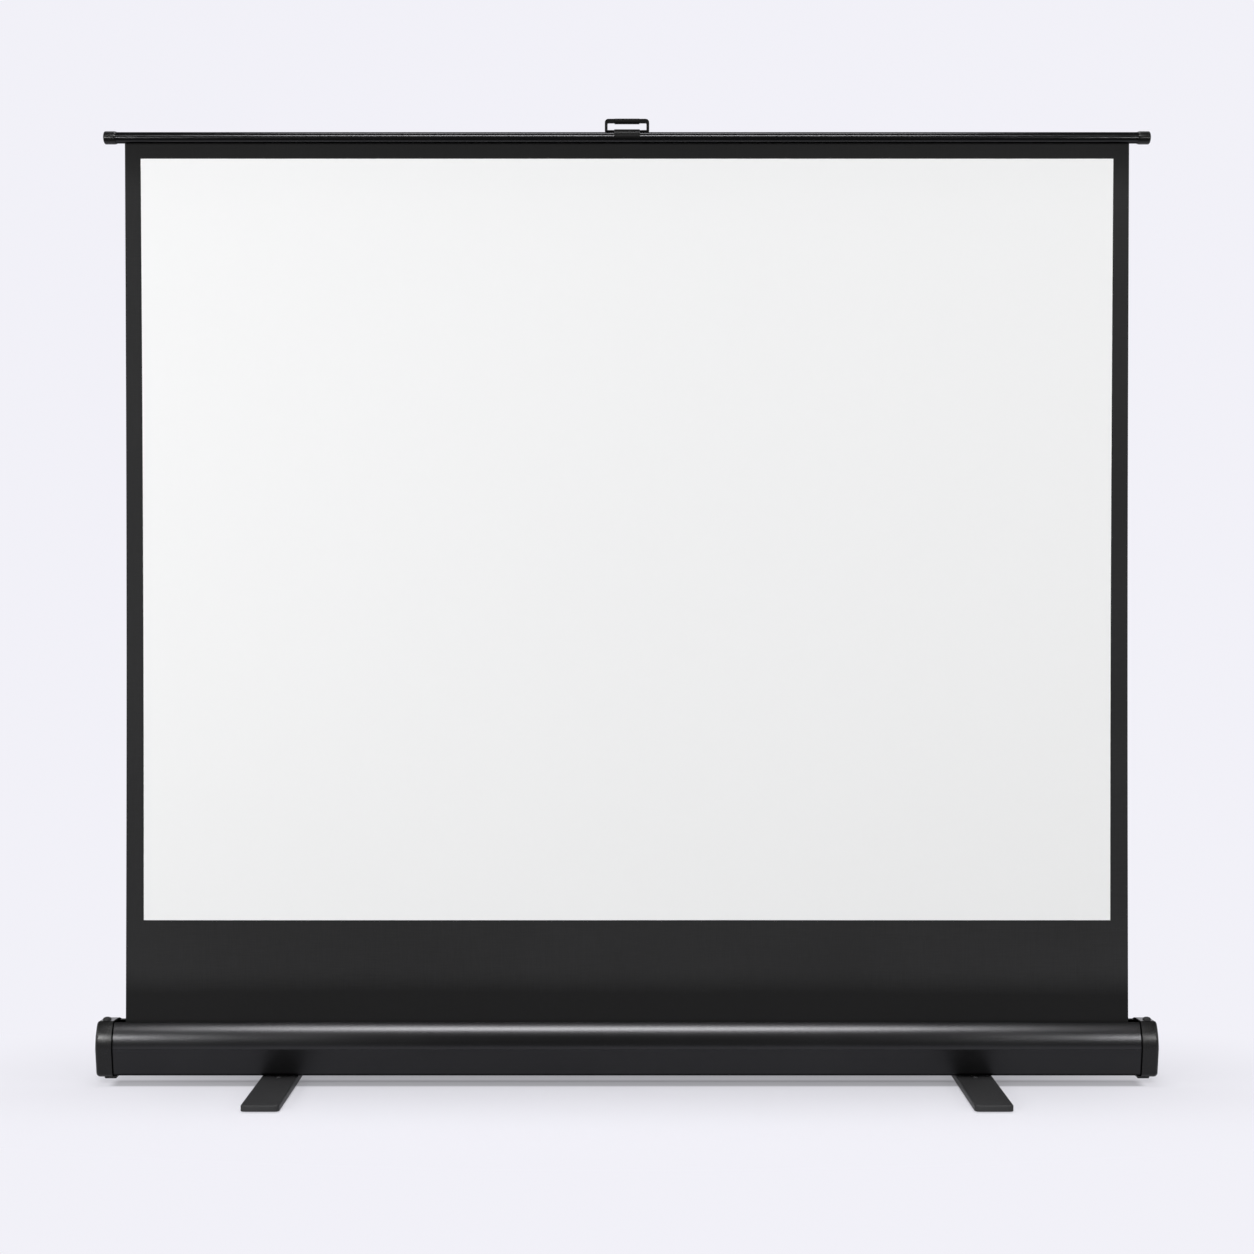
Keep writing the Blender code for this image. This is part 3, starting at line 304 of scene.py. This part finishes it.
softbox("front_softbox", (-0.3, -9.6, 7.8), aim=(0.0, 0.0, 0.6), size=(5.6, 1.6), power=600.0)
softbox("left_softbox", (-2.38, -3.9, 1.24), aim=(-0.2, 0.0, 0.7), size=SIDE_SIZE, power=51.0)
softbox("right_softbox", (2.28, -3.9, 1.24), aim=(0.2, 0.0, 0.6), size=SIDE_SIZE, power=32.0)
softbox("overhead_softbox", (0.0, 0.05, 5.5), aim=(0.0, 0.05, 0.0), size=(2.6, 1.0), power=95.0)
softbox("left_fill", (-4.2, -2.2, 1.3), aim=(0.2, 0.0, 0.9), size=FILL_SIZE, power=52.0)
softbox("right_fill", (4.2, -2.2, 1.3), aim=(-0.2, 0.0, 0.9), size=FILL_SIZE, power=32.0)
print("six softboxes")

# %% [markdown]
# ## The finishes
#
# Almost everything here is black, so the finishes differ by their surface and not by their colour. Each
# one is built from a few noise patterns on the piece's own coordinates: a fine one that tilts the
# surface, and a broad one that makes it a little duller or glossier from place to place, as handled and
# dusty things are.

# %% Start a finish
def new_finish(name, constants):
    """A material with constant sockets set, its shader, and the piece's own coordinates."""
    material = bpy.data.materials.new(name)
    material.use_nodes = True
    shader = material.node_tree.nodes["Principled BSDF"]
    for socket, value in constants.items():
        shader.inputs[socket].default_value = value
    place = Field(material.node_tree).make("ShaderNodeTexCoord", output="Object")
    return material, shader, place


print("a finish can be started")

# %% Make patterns and tones
EVEN = (1.0, 1.0, 1.0)
NOISE_MIDDLE = 0.5
DARK_STOP = 0.3
LIGHT_STOP = 0.7
COOL_TINT = 1.04


def noise(place, scale, detail, stretch=EVEN):
    """Cloudy values around one half, in blobs of about 1 / scale metres that a stretch draws out."""
    scales = tuple(scale / part for part in stretch)
    drawn = place.make("ShaderNodeMapping", {}, {"Vector": place, "Scale": scales})
    sockets = {"Vector": drawn, "Scale": 1.0, "Detail": detail}
    return place.make("ShaderNodeTexNoise", {}, sockets, output="Fac")


def tilt(height, depth):
    """A normal that follows a height pattern of a given depth in metres."""
    sockets = {"Height": height, "Distance": depth, "Strength": 1.0}
    return height.make("ShaderNodeBump", {}, sockets, output="Normal")


def uneven(value, *swings):
    """A value that wanders with patterns, each by its own swing."""
    for pattern, swing in swings:
        value = value + swing * (pattern - NOISE_MIDDLE)
    return value


def tones(value, dark, light):
    """A colour between two, by a value that lies around one half."""
    stops = [(DARK_STOP, dark), (LIGHT_STOP, light)]
    return value.make("ShaderNodeValToRGB", {"stops": stops}, {"Fac": value})


def grey(level):
    """A black or grey that is a trace cooler than neutral."""
    return (level, level, COOL_TINT * level)


print("patterns and tones are ready")

# %% [markdown]
# ### Anodised extrusions
#
# The casing and the bar are pushed through a die, which leaves very fine lines along their length, and
# the black anodising over them is satin. Lines come from a noise that is stretched a long way along X.
# A black metal with a dark tint at its edges keeps the outline of the bar dark, where a plain gloss
# would go white.

# %% Make the anodised finish
def anodised(name, dark, light, roughness, stretch, edge_tint=0.2):
    """Black metal between two grey levels, with fine lines along the stretch."""
    constants = {"Metallic": 1.0, "Specular Tint": (edge_tint, edge_tint, edge_tint, 1.0)}
    material, shader, place = new_finish(name, constants)
    lines = noise(place, scale=1100.0, detail=3.0, stretch=stretch)
    cloud = noise(place, scale=5.0, detail=4.0)
    dust_and_painted_shade = noise(place, scale=420.0, detail=2.0)
    tones(0.35 * lines + 0.65 * cloud, grey(dark), grey(light)).into(shader, "Base Color")
    uneven(roughness, (lines, 0.04), (cloud, 0.06), (dust_and_painted_shade, 0.03)).into(shader, "Roughness")
    tilt(lines, depth=0.000004).into(shader, "Normal")
    return material


ALONG = (700.0, 1.0, 1.0)
IN_ARM_PLANE = (6.0, 1.0, 6.0)
cover_finish = anodised("cover_anodised", 0.039, 0.044, roughness=0.225, stretch=ALONG)
channel_finish = anodised("channel_anodised", 0.028, 0.033, roughness=0.36, stretch=ALONG)
bar_finish = anodised("bar_anodised", 0.030, 0.036, roughness=0.19, stretch=ALONG)
arm_finish = anodised("arm_coat", 0.040, 0.048, roughness=0.42, stretch=IN_ARM_PLANE, edge_tint=0.5)
print(cover_finish.name, channel_finish.name, bar_finish.name, arm_finish.name)

# %% [markdown]
# ### Moulded plastic, rubber and coated feet
#
# Moulded parts carry the spark-eroded grain of their tool, which is finer than a grain of sand. Rubber
# is duller and greyer. The feet have a powder coat, whose skin is slightly wavy like the peel of an
# orange.

# %% Make the moulded and coated finishes
def moulded(name, dark, light, roughness, gloss, grain, depth):
    """Plastic, rubber or paint between two colours, with a grain of a given scale and depth."""
    material, shader, place = new_finish(name, {"Specular IOR Level": gloss})
    skin = noise(place, scale=grain, detail=2.0)
    cloud = noise(place, scale=14.0, detail=3.0)
    tones(0.3 * skin + 0.7 * cloud, dark, light).into(shader, "Base Color")
    uneven(roughness, (skin, 0.12), (cloud, 0.10)).into(shader, "Roughness")
    tilt(skin, depth).into(shader, "Normal")
    return material


cap_finish = moulded(
    "cap_plastic", grey(0.003), grey(0.005), roughness=0.27, gloss=0.3, grain=1500.0, depth=0.000005,
)
handle_finish = moulded(
    "handle_plastic", grey(0.0016), grey(0.003), roughness=0.44, gloss=0.1, grain=1800.0, depth=0.00002,
)
# A near black for the caps' recessed lip, as a painted shadow.
painted_lip_shadow_finish = moulded(
    "painted_lip_shadow", grey(0.0008), grey(0.0015), roughness=0.8, gloss=0.02, grain=1500.0, depth=0.00002,
)
foot_finish = moulded(
    "foot_powder_coat", grey(0.034), grey(0.042), roughness=0.46, gloss=0.12, grain=620.0, depth=0.00004,
)
rubber_finish = moulded(
    "rubber", grey(0.012), grey(0.018), roughness=0.68, gloss=0.35, grain=900.0, depth=0.00004,
)
bracket_finish = moulded(
    "bracket_paint", grey(0.010), grey(0.015), roughness=0.36, gloss=0.45, grain=380.0, depth=0.00003,
)
nylon_finish = moulded(
    "natural_nylon", (0.60, 0.58, 0.53), (0.70, 0.68, 0.63),
    roughness=0.50, gloss=0.45, grain=900.0, depth=0.00002,
)
print("moulded, coated and rubber finishes")

# %% [markdown]
# ### Bare metals
#
# Pins and screws are zinc plated, and the roller tube inside is plain aluminium. Both are metals, so
# their colour is in the reflection, and a patchy roughness keeps them from looking like mirrors.

# %% Make the metal finishes
def metal(name, dark, light, roughness, scale, stretch):
    """Bare metal between two colours, with lines or specks of a given scale."""
    material, shader, place = new_finish(name, {"Metallic": 1.0})
    lines = noise(place, scale, detail=4.0, stretch=stretch)
    cloud = noise(place, scale=60.0, detail=3.0)
    tones(0.5 * lines + 0.5 * cloud, dark, light).into(shader, "Base Color")
    uneven(roughness, (lines, 0.16), (cloud, 0.14)).into(shader, "Roughness")
    tilt(lines, depth=0.00001).into(shader, "Normal")
    return material


steel_finish = metal(
    "zinc_plate", (0.44, 0.44, 0.46), (0.62, 0.62, 0.64),
    roughness=0.32, scale=700.0, stretch=EVEN,
)
tube_finish = metal(
    "mill_aluminium", (0.56, 0.56, 0.57), (0.70, 0.70, 0.71),
    roughness=0.36, scale=1200.0, stretch=(500.0, 1.0, 1.0),
)
print("zinc plate and aluminium")

# %% [markdown]
# ### Screen cloth
#
# The screen is a coated glass cloth. Its black side is matt with the threads just showing through the
# coating, and its white side is made to scatter light evenly. Threads are two noises, one drawn out
# upwards and one sideways: unlike a regular pattern, they never beat against the pixels of a picture.
# Near the slot and under the bar the cloth is darkened with painted shade.

# %% Make the cloth finishes
CLOTH_GLOSS = 0.2
# Painted shade: heights over which the cloth darkens towards the slot and under the bar.
SLOT_SHADE_RISE = (0.09, 0.20)
BAR_SHADE_RISE = (1.48, 1.57)
BAR_SHADE_SHARE = 0.35


def cloth(name, dark, light, roughness, thread_depth):
    """Coated cloth between two colours, with painted shade that darkens it next to the slot and the bar.
    """
    material, shader, place = new_finish(name, {"Specular IOR Level": CLOTH_GLOSS})
    warp = noise(place, scale=1400.0, detail=1.0, stretch=(1.0, 1.0, 40.0))
    weft = noise(place, scale=1400.0, detail=1.0, stretch=(40.0, 1.0, 1.0))
    cloud = noise(place, scale=1.7, detail=3.0)
    threads = warp + weft
    up = place.make("ShaderNodeSeparateXYZ", {}, {0: place}, output="Z")
    # Painted shade: the tone is made darker towards the slot below and under the bar above.
    dust_and_painted_shade = ramp_up(up, *SLOT_SHADE_RISE) * (1 - BAR_SHADE_SHARE * ramp_up(up, *BAR_SHADE_RISE))
    tones((0.23 + 0.12 * threads + 0.3 * cloud) * dust_and_painted_shade, dark, light).into(shader, "Base Color")
    rough_threads = roughness + 0.06 * (threads - 2 * NOISE_MIDDLE)
    uneven(rough_threads, (cloud, 0.05)).into(shader, "Roughness")
    tilt(threads, thread_depth).into(shader, "Normal")
    return material


border_finish = cloth(
    "black_border_cloth", grey(0.003), grey(0.029), roughness=0.7, thread_depth=0.00005,
)
white_finish = cloth(
    "white_viewing_cloth", (0.842, 0.844, 0.848), (0.860, 0.862, 0.866),
    roughness=0.85, thread_depth=0.00003,
)
print("black and white cloth")

# %% [markdown]
# ## The screen
#
# The sheet hangs between the roller and the bar and is pulled tight, so it draws in a little at its
# waist and lies in very shallow upright waves. A flat box would miss both. It is a fine grid whose
# points are moved by two short formulas. The white layer on its front uses the same formulas, so the
# two never cross. When the bar comes down the real sheet winds onto the roller. Here the sheet and its
# white face ride on the casing, each with a mesh of its own.

# %% Measure the sheet's place
backing_low, backing_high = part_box("screen_backing")
white_low, white_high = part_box("viewing_surface")
hem_low, hem_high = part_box("top_hem")
sheet_width = backing_high.x - backing_low.x
sheet_height = backing_high.z - backing_low.z

# %% Shape the waves
WAVE_DEPTH = 0.0007
LONG_RATE = 5.1
LONG_START = 0.8
SHORT_RATE = 11.3
SHORT_START = -1.1
SHORT_LEAN = 1.5
SHORT_SHARE = 0.6


def sheet_wave(x, z):
    """How far the sheet stands back from its plane: shallow upright waves that die out at both ends."""
    share = (z - backing_low.z) / sheet_height
    swell = math.sin(math.pi * min(1.0, max(0.0, share)))
    long_wave = math.sin(LONG_RATE * x + LONG_START)
    short_wave = math.sin(SHORT_RATE * x + SHORT_START + SHORT_LEAN * share)
    return WAVE_DEPTH * swell * (long_wave + SHORT_SHARE * short_wave)


print(f"waves {1000 * WAVE_DEPTH:.1f} mm deep")

# %% Shape the side edges
WAIST = 0.0019
WHITE_FOOT_HALF = 0.8113
WHITE_HEAD_HALF = 0.8146


def drawn_in(z):
    """How far each side of the sheet is drawn in at a height."""
    share = (z - backing_low.z) / (hem_high.z - backing_low.z)
    return WAIST * math.sin(math.pi * min(1.0, share))


def fabric_half(z):
    """The black sheet's half width at a height."""
    return sheet_width / 2 - drawn_in(z)


def white_half(z):
    """The white area's half width: a little less at its foot, and drawn in with the sheet under it."""
    share = (z - white_low.z) / (white_high.z - white_low.z)
    return WHITE_FOOT_HALF + (WHITE_HEAD_HALF - WHITE_FOOT_HALF) * share - drawn_in(z)


print(f"waist {1000 * WAIST:.1f} mm a side")

# %% Make a sheet on a grid
COLUMNS = 72


def cloth_sheet(rows, half_width, low, high, front, thickness):
    """A thin closed sheet in the X and Z plane. The half width is a rule on the height."""
    bm = bmesh.new()
    bmesh.ops.create_grid(bm, x_segments=COLUMNS, y_segments=rows, size=0.5)
    upright = Matrix.Rotation(math.pi / 2, 3, "X")
    bmesh.ops.rotate(bm, verts=bm.verts, cent=(0, 0, 0), matrix=upright)
    for vert in bm.verts:
        z = low + (high - low) * (vert.co.z + 0.5)
        x = 2 * vert.co.x * half_width(z)
        vert.co = (x, front + sheet_wave(x, z), z)
    bmesh.ops.recalc_face_normals(bm, faces=bm.faces)
    if bm.faces[:][0].normal.y > 0:
        bmesh.ops.reverse_faces(bm, faces=bm.faces)
    bmesh.ops.solidify(bm, geom=bm.faces[:], thickness=thickness)
    bmesh.ops.recalc_face_normals(bm, faces=bm.faces)
    return bm


print(f"{COLUMNS} columns across a sheet")

# %% Finish a piece
SHARP_ANGLE = math.radians(35.0)


def add_piece(name, bm, finish, body):
    """Turns a bmesh into a shaded piece that rides on a body."""
    mesh = bpy.data.meshes.new(name)
    bm.to_mesh(mesh)
    bm.free()
    mesh.shade_smooth()
    mesh.set_sharp_from_angle(angle=SHARP_ANGLE)
    mesh.materials.append(finish)
    piece = bpy.data.objects.new(name, mesh)
    scene.collection.objects.link(piece)
    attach(piece, body)
    return piece


def let_down(piece):
    """Gives the piece a mesh of its own."""
    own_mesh(piece)


# %% Hang the black sheet and its white face
SHEET_ROWS = 64

black = cloth_sheet(
    SHEET_ROWS, fabric_half, backing_low.z, backing_high.z,
    front=backing_low.y, thickness=backing_high.y - backing_low.y,
)
screen_sheet = add_piece("screen_sheet", black, border_finish, "casing")
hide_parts("screen_backing")
let_down(screen_sheet)

white = cloth_sheet(
    SHEET_ROWS, white_half, white_low.z, white_high.z,
    front=white_low.y, thickness=white_high.y - white_low.y,
)
white_face = add_piece("white_face", white, white_finish, "casing")
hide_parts("viewing_surface")
let_down(white_face)
print(len(screen_sheet.data.polygons), "and", len(white_face.data.polygons), "faces")

# %% [markdown]
# The top hem goes up with the bar, so it is a piece of its own. Its upper edge is folded round a spline
# that is held in the bar's slot, and it butts against the sheet along the head of the white area, where
# the joint can't be seen.

# %% Hang the top hem from the bar
HEM_ROWS = 3

hem = cloth_sheet(
    HEM_ROWS, fabric_half, backing_high.z, hem_high.z,
    front=hem_low.y, thickness=hem_high.y - hem_low.y,
)
top_hem_cloth = add_piece("top_hem_cloth", hem, border_finish, "top_bar")
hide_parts("top_hem")

# %% [markdown]
# The foot of the sheet stays on the roller as two turns. They could be a plain sleeve, but cloth on a
# roller is a spiral with a free edge. So a polyline that winds outwards is extruded along the casing,
# and the strip is given the thickness of the cloth.

# %% Wind the last turns on the roller
LAYER = 0.00025
TURNS = 2
POINTS_PER_TURN = 40
STEPS = TURNS * POINTS_PER_TURN

roll_low, roll_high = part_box("fabric_wraps")
roll_centre = (roll_low + roll_high) / 2
roll_radius = (roll_high.z - roll_low.z) / 2
core_radius = (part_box("roller_tube")[1].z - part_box("roller_tube")[0].z) / 2

winding = bmesh.new()
points = []
for step in range(STEPS + 1):
    angle = 2 * math.pi * step / POINTS_PER_TURN
    reach = core_radius + LAYER + (roll_radius - core_radius - 2 * LAYER) * step / STEPS
    across, up = -reach * math.cos(angle), -reach * math.sin(angle)
    points.append(winding.verts.new((roll_low.x, roll_centre.y + across, roll_centre.z + up)))
runs = [winding.edges.new(pair) for pair in zip(points, points[1:])]
swept = bmesh.ops.extrude_edge_only(winding, edges=runs)["geom"]
moved = [item for item in swept if isinstance(item, bmesh.types.BMVert)]
bmesh.ops.translate(winding, verts=moved, vec=(roll_high.x - roll_low.x, 0.0, 0.0))
bmesh.ops.recalc_face_normals(winding, faces=winding.faces)
bmesh.ops.solidify(winding, geom=winding.faces[:], thickness=LAYER)
bmesh.ops.recalc_face_normals(winding, faces=winding.faces)
wound_cloth = add_piece("wound_cloth", winding, border_finish, "roller")
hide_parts("fabric_wraps")

# %% [markdown]
# ## Rounded edges
#
# A sharp corner never catches light, and no moulded or extruded part has one. Each larger solid is
# copied, its loose triangles are merged, and its flat parts are joined back into whole faces. Then only
# the edges where two faces meet at a clear angle are bevelled. The copy stands for the solid, and the
# solid stays as it was for the motion. Pins, screws and other small turned pieces keep their own shape
# and only get a finish.

# %% Round the edges of a copied solid
MERGE_DISTANCE = 0.000002
FLAT_ANGLE = math.radians(0.4)
CORNER_ANGLE = math.radians(40.0)

record = frame["record"]
bodies = record["behaviour"]["bodies"]
body_of = {name: body for body, members in bodies.items() for name in members}


def rounded_copy(node, finish, edge, shortest=0.0):
    """A copy of a solid with its sharp edges rounded, in place of the solid."""
    bm = bmesh.new()
    bm.from_mesh(nodes[node].data)
    bmesh.ops.remove_doubles(bm, verts=bm.verts, dist=MERGE_DISTANCE)
    bmesh.ops.dissolve_limit(bm, angle_limit=FLAT_ANGLE, verts=bm.verts, edges=bm.edges)
    corners = [
        item for item in bm.edges
        if item.is_manifold and item.calc_face_angle() > CORNER_ANGLE and item.calc_length() > shortest
    ]
    bmesh.ops.bevel(
        bm, geom=corners, offset=edge, segments=2, profile=0.5,
        affect="EDGES", material=-1, clamp_overlap=True,
    )
    piece = add_piece(f"{node}_rounded", bm, finish, body_of[node])
    shading = piece.modifiers.new("flat_faces_stay_flat", "WEIGHTED_NORMAL")
    shading.keep_sharp = True
    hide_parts(node)
    return piece


def paint(finish, *names):
    """Gives solids that keep their own shape a finish."""
    for name in names:
        nodes[name].material_slots[0].material = finish


print(len(body_of), "solids are on bodies")

# %% [markdown]
# ## The casing
#
# Three extrusions make the casing: a channel below, a front cover whose upper face leans back to the
# slot, and a rear cover that arches over the roller. They meet at a seam half way up. The end caps are
# moulded and push over the ends. Each has a thin recessed lip next to the extrusion, whose faces get a
# near black as a painted shadow, so that the lip reads as a dark line.

# %% Dress the casing and its caps
LIP_START = 0.8588
LIP_END = 0.8608
EDGE = 0.0003

rounded_copy("casing_base", channel_finish, edge=0.0011)
for name in ("casing_front_cover", "casing_rear_cover"):
    rounded_copy(name, cover_finish, edge=EDGE)
for side in ("left", "right"):
    cap = rounded_copy(f"end_cap_{side}", cap_finish, edge=EDGE)
    # Painted shadow: the faces of the recessed lip next to the casing get the near black.
    cap.data.materials.append(painted_lip_shadow_finish)
    for face in cap.data.polygons:
        face.material_index = int(LIP_START - EDGE < abs(face.center.x) < LIP_END + EDGE / 2)
    rounded_copy(f"rest_bumper_{side}", rubber_finish, edge=0.0004)
print("casing dressed")

# %% [markdown]
# Inside lies the roller: an aluminium tube with a plug in each end, a spring on a steel shaft, and a
# nylon bush in each cap. Little of it shows through the slot and the solids already have its shape, so
# they only get finishes.

# %% Dress the roller inside
paint(tube_finish, "roller_tube")
paint(cap_finish, "roller_idler_plug", "roller_spring_plug")
paint(steel_finish, "roller_spring", "roller_spring_shaft")
paint(nylon_finish, "roller_bush_left", "roller_bush_right")
print("roller dressed")

# %% [markdown]
# ## The lift
#
# Two pairs of arms with toothed ends fold behind the screen. Their long edges are rounded as drawn bar
# is. The teeth stay crisp, so edges shorter than 20 mm are left out of the bevel.

# %% Dress the arms and their pivots
for side in ("left", "right"):
    for level in ("lower", "upper"):
        rounded_copy(f"{level}_arm_{side}", arm_finish, edge=0.0008, shortest=0.02)
    paint(steel_finish, f"base_pin_{side}", f"elbow_pin_{side}", f"top_pin_{side}")
    paint(steel_finish, f"bracket_screw_{side}", f"bar_screw_{side}")
    paint(nylon_finish, f"elbow_washer_{side}")
for name in ("arm_base_bracket", "arm_top_bracket"):
    rounded_copy(name, bracket_finish, edge=0.0004, shortest=0.004)
print("arms dressed")

# %% [markdown]
# ## The top bar and its handle
#
# The bar is a slotted tube with a moulded cap on each end. In the middle a saddle clips over it, and a
# bail of moulded plastic with a thicker grip stands up from the saddle's barrel. The tube's wall is
# thin, so its edges get a bevel of only a fifth of a millimetre, which still catches a line of light.

# %% Dress the bar and the handle
rounded_copy("top_bar_tube", bar_finish, edge=0.0002)
paint(nylon_finish, "hem_spline")
for side in ("left", "right"):
    rounded_copy(f"top_bar_cap_{side}", cap_finish, edge=EDGE)
rounded_copy("handle_saddle", handle_finish, edge=EDGE)
rounded_copy("handle_bail", handle_finish, edge=0.0005)
print("bar and handle dressed")

# %% [markdown]
# ## The feet
#
# Each foot is a flat coated bar that turns on a bolt under the casing, on rubber pads. A small stud in
# front of the bolt springs into the casing when the foot is straight. The coat softens the bar's
# corners, so the foot is a rounded copy, and the small parts on it only get finishes.

# %% Dress the feet
for side in ("left", "right"):
    rounded_copy(f"foot_{side}", foot_finish, edge=0.0006)
    paint(steel_finish, f"foot_bolt_{side}")
    paint(foot_finish, f"foot_stud_{side}")
    paint(nylon_finish, f"foot_washer_{side}")
    paint(rubber_finish, f"foot_pad_{side}_front", f"foot_pad_{side}_rear")
print("feet dressed")

# %% [markdown]
# ## Check the size
#
# Dressing must not make the object bigger.

# %% Compare the boxes
new_low, new_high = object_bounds()
grown = [round(1000 * value, 2) for value in (*(new_low - cad_low), *(new_high - cad_high))]
print("box changes in mm:", grown)
